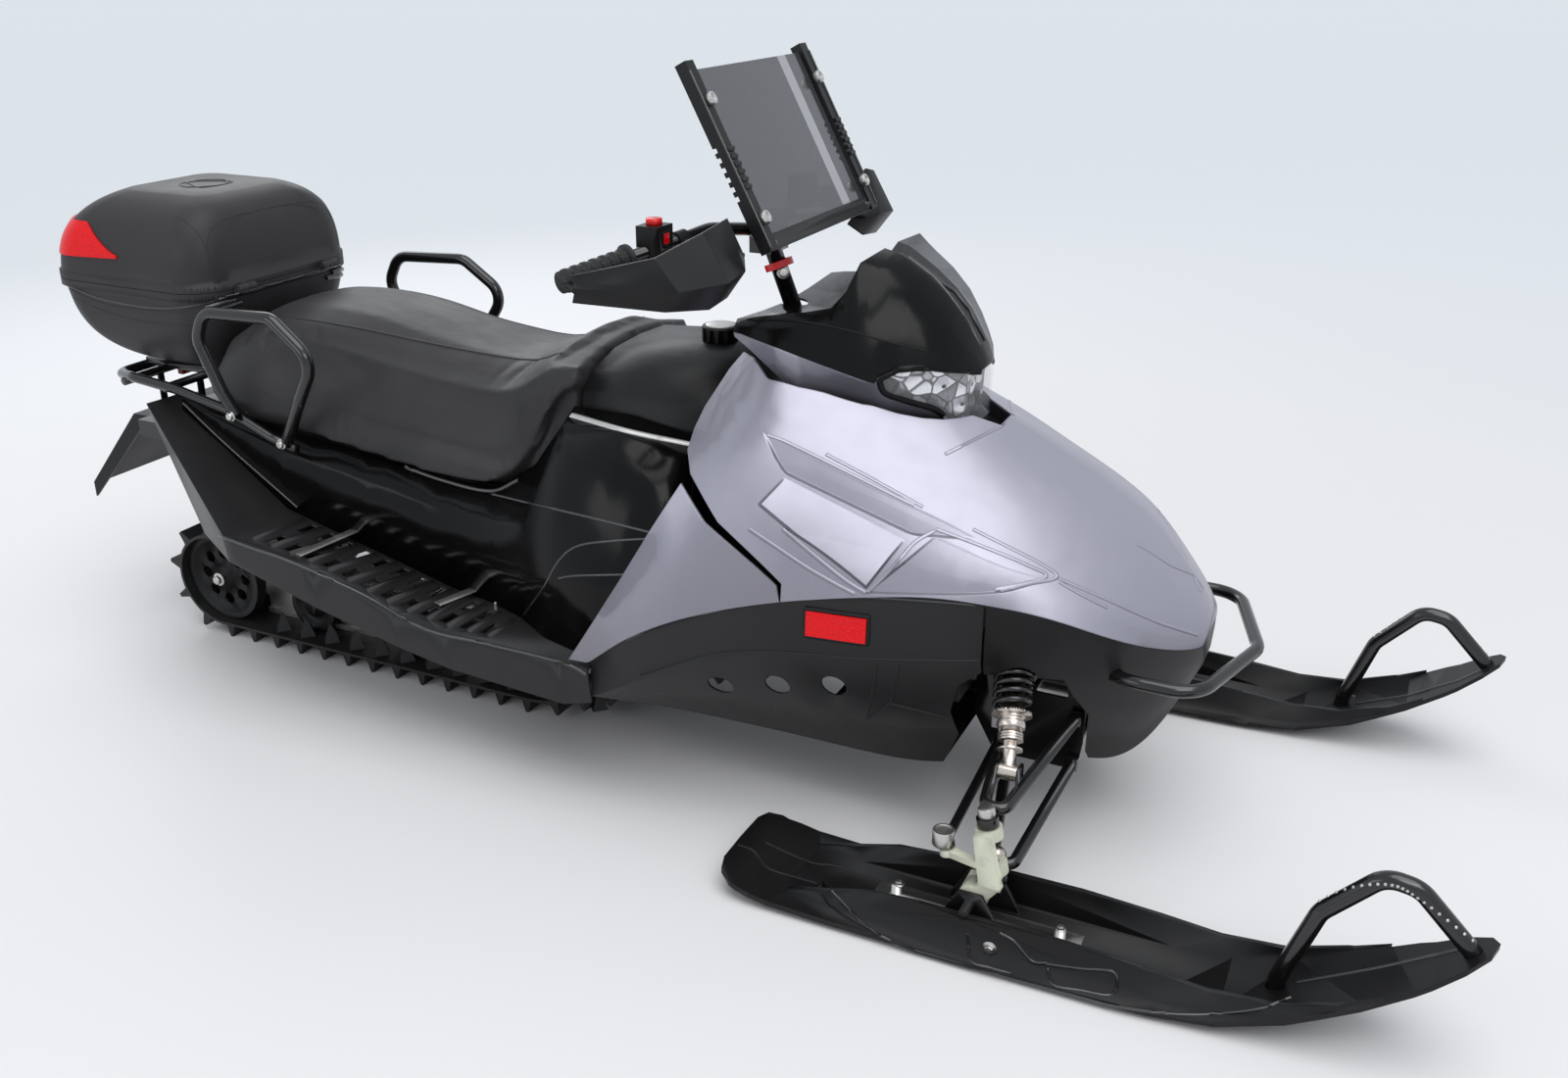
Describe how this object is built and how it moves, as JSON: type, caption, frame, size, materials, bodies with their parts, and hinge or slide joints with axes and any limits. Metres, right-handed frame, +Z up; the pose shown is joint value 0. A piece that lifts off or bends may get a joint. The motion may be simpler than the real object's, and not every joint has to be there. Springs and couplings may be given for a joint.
{
  "type": "snowmobile with top case",
  "caption": "Rider-steered snow vehicle with a rubber drive track, steered front skis, a long seat, handlebar with windshield, and a hinged top case.",
  "frame": {"origin": "on the ground below the middle of the bounding box", "axes": "+X forward along the length, +Y to the rider's left, +Z up"},
  "size_m": [2.8383, 1.112, 1.2461],
  "materials": {
    "hood_paint": "satin metallic lilac-silver lacquer",
    "gloss_black": "gloss black",
    "satin_grey": "satin dark grey",
    "black_plastic": "moulded black plastic",
    "case_plastic": "fine grained moulded black plastic",
    "seat_leather": "black satin seat cover",
    "track_rubber": "black rubber",
    "frame_black": "gloss black powder coat",
    "dark_metal": "satin black painted sheet",
    "bright_steel": "zinc plated steel",
    "nickel": "nickel plated damper body",
    "aluminium": "natural aluminium",
    "nylon": "pale green-ivory nylon",
    "engine_metal": "cast metal",
    "clear_lens": "clear lens",
    "lamp_bowl": "metallised lamp bowl",
    "smoked_glass": "smoked clear plastic",
    "red_lens": "red reflector",
    "red_plastic": "red plastic",
    "tail_red": "dark red lamp lens"
  },
  "bodies": {
    "chassis": {"tunnel": "dark_metal", "running_boards": "satin_grey", "side_covers": "gloss_black", "seat": "seat_leather", "fuel_tank": "black_plastic", "fuel_cap": "black_plastic", "hood": "hood_paint", "side_panels": "hood_paint", "lamp_cowl": "hood_paint", "screen_fairing": "gloss_black", "headlamp_housing": "lamp_bowl", "headlamp_lens": "clear_lens", "belly_pan": "satin_grey", "nose_pan": "satin_grey", "side_reflectors": "red_lens", "front_bumper": "frame_black", "front_frame": "frame_black", "engine_block": "engine_metal", "steering_bracket": "frame_black", "upper_arms": "frame_black", "lower_arms": "frame_black", "dampers": "nickel", "springs": "frame_black", "rear_rack": "frame_black", "grab_handles": "frame_black", "case_tub": "case_plastic", "snow_flap": "black_plastic", "tail_lamp": "tail_red", "track": "track_rubber", "slide_rails": "aluminium", "track_suspension": "frame_black", "rear_idlers": "black_plastic", "bogie_wheels": "black_plastic", "drive_axle": "bright_steel"},
    "handlebar_unit": {"steering_stem": "frame_black", "handlebar": "frame_black", "grips": "track_rubber", "hand_controls": "black_plastic", "stop_switch": "red_plastic", "hand_guards": "black_plastic", "windshield_frame": "black_plastic", "windshield": "smoked_glass"},
    "tie_rods": {"tie_rods": "frame_black"},
    "spindle_left": {"spindle_left": "nylon"},
    "spindle_right": {"spindle_right": "nylon"},
    "ski_left": {"ski_left": "black_plastic", "ski_plate_left": "bright_steel", "ski_loop_left": "frame_black"},
    "ski_right": {"ski_right": "black_plastic", "ski_plate_right": "bright_steel", "ski_loop_right": "frame_black"},
    "case_lid": {"case_lid": "case_plastic", "case_lamps": "red_lens"}
  },
  "joints": [
    {"name": "steering", "type": "hinge", "parent": "chassis", "child": "handlebar_unit", "pos_m": [0.17, 0, 0.87], "axis": [-0.3746, 0, 0.9272], "range_deg": [-35, 35]},
    {"name": "tie_rod_slide", "type": "slide", "parent": "chassis", "child": "tie_rods", "axis": [0, 1, 0], "range_m": [-0.036, 0.036]},
    {"name": "case_lid_hinge", "type": "hinge", "parent": "chassis", "child": "case_lid", "pos_m": [-0.959, 0, 0.7705], "axis": [0, 1, 0], "range_deg": [0, 80]},
    {"name": "spindle_left_pivot", "type": "hinge", "parent": "chassis", "child": "spindle_left", "pos_m": [0.738, 0.45, 0.112], "axis": [-0.1908, 0, 0.9816], "range_deg": [-28, 28]},
    {"name": "ski_left_pitch", "type": "hinge", "parent": "spindle_left", "child": "ski_left", "pos_m": [0.713, 0.45, 0.074], "axis": [0, 1, 0], "range_deg": [-10, 10]},
    {"name": "spindle_right_pivot", "type": "hinge", "parent": "chassis", "child": "spindle_right", "pos_m": [0.738, -0.45, 0.112], "axis": [-0.1908, 0, 0.9816], "range_deg": [-28, 28]},
    {"name": "ski_right_pitch", "type": "hinge", "parent": "spindle_right", "child": "ski_right", "pos_m": [0.713, -0.45, 0.074], "axis": [0, 1, 0], "range_deg": [-10, 10]}
  ],
  "couplings": [
    {"joint": "tie_rod_slide", "follows": "steering", "m_per_rad": -0.0564},
    {"joint": "spindle_left_pivot", "follows": "steering", "ratio": 0.8},
    {"joint": "spindle_right_pivot", "follows": "steering", "ratio": 0.8}
  ]
}
